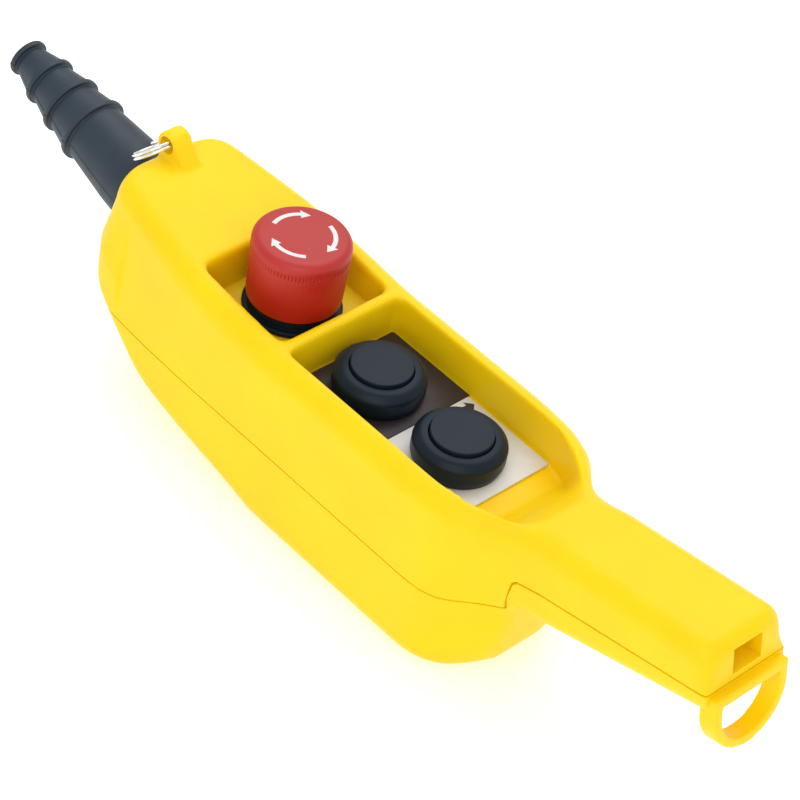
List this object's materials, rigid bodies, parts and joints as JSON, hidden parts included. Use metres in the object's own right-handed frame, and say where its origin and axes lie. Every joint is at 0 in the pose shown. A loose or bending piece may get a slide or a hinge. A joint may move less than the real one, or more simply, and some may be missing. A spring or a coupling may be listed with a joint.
{
  "type": "pendant control station",
  "caption": "Handheld pendant control station with a latching emergency stop, push-buttons in a guarded recess, a slanted grip with lanyard loop, and a ribbed cable boot.",
  "frame": {"origin": "on the flat back face of the rear shell, straight behind the centre of the first push-button, the one nearer the emergency stop", "axes": "+X along the housing towards the grip and lanyard loop, +Z out of the control face, +Y to the side so that the frame is right-handed; the station lies on its back"},
  "size_m": [0.4236, 0.078, 0.1074],
  "materials": {
    "yellow_plastic": "satin",
    "red_plastic": "satin",
    "black_plastic": "satin",
    "boot_rubber": "matte",
    "white_legend": "matte",
    "black_legend": "matte",
    "yellow_legend": "matte",
    "grey_plastic": "matte",
    "zinc_steel": "satin",
    "chrome": "polished",
    "spring_steel": "satin",
    "brass": "satin"
  },
  "bodies": {
    "housing": {"front_shell": "yellow_plastic", "rear_shell": "yellow_plastic", "housing_screw_1": "zinc_steel", "housing_screw_2": "zinc_steel", "housing_screw_3": "zinc_steel", "housing_screw_4": "zinc_steel", "housing_screw_5": "zinc_steel", "housing_screw_6": "zinc_steel", "grip_screw": "zinc_steel", "cord_clamp_bar": "zinc_steel", "cable_boot_left": "boot_rubber", "cable_boot_top": "boot_rubber", "cable_boot_right": "boot_rubber", "cable_boot_bottom": "boot_rubber", "cord_clamp_screw_1": "zinc_steel", "cord_clamp_screw_2": "zinc_steel", "estop_legend_plate": "yellow_legend", "legend_plate_black": "black_legend", "legend_plate_white": "white_legend", "legend_arrow": "black_legend", "button_1_bezel": "black_plastic", "button_1_spring": "spring_steel", "button_1_nut": "grey_plastic", "button_1_contact_block": "grey_plastic", "button_1_terminal_screw_1": "brass", "button_1_terminal_screw_2": "brass", "button_2_bezel": "black_plastic", "button_2_spring": "spring_steel", "button_2_nut": "grey_plastic", "button_2_contact_block": "grey_plastic", "button_2_terminal_screw_1": "brass", "button_2_terminal_screw_2": "brass", "estop_collar": "black_plastic", "estop_spring": "spring_steel", "estop_nut": "grey_plastic", "estop_contact_block": "grey_plastic", "estop_terminal_screw_1": "brass", "estop_terminal_screw_2": "brass"},
    "button_1": {"button_1_cap": "black_plastic", "button_1_plunger": "grey_plastic", "button_1_contact_bridge": "brass"},
    "button_2": {"button_2_cap": "black_plastic", "button_2_plunger": "grey_plastic", "button_2_contact_bridge": "brass"},
    "estop_slider": {"estop_shaft": "grey_plastic", "estop_contact_bridge": "brass"},
    "estop_knob": {"estop_head": "red_plastic", "estop_arrow_1": "white_legend", "estop_arrow_2": "white_legend", "estop_arrow_3": "white_legend"},
    "hanging_ring": {"suspension_ring": "chrome"}
  },
  "joints": [
    {"name": "button_1_press", "type": "slide", "parent": "housing", "child": "button_1", "axis": [0, 0, -1], "range_m": [0, 0.0045], "stiffness_N_per_m": 600, "springref_m": -0.001, "deforming": ["button_1_spring"]},
    {"name": "button_2_press", "type": "slide", "parent": "housing", "child": "button_2", "axis": [0, 0, -1], "range_m": [0, 0.0045], "stiffness_N_per_m": 600, "springref_m": -0.001, "deforming": ["button_2_spring"]},
    {"name": "estop_push", "type": "slide", "parent": "housing", "child": "estop_slider", "axis": [0, 0, -1], "range_m": [0, 0.004], "stiffness_N_per_m": 900, "springref_m": -0.001, "deforming": ["estop_spring"]},
    {"name": "estop_twist", "type": "hinge", "parent": "estop_slider", "child": "estop_knob", "pos_m": [-0.0512, 0, 0.09], "axis": [0, 0, -1], "range_deg": [0, 45], "stiffness_Nm_per_rad": 0.08, "springref_deg": -2.86},
    {"name": "ring_swing", "type": "hinge", "parent": "housing", "child": "hanging_ring", "pos_m": [-0.1288, 0, 0.0999], "axis": [0, 1, 0], "range_deg": [0, 150]}
  ]
}
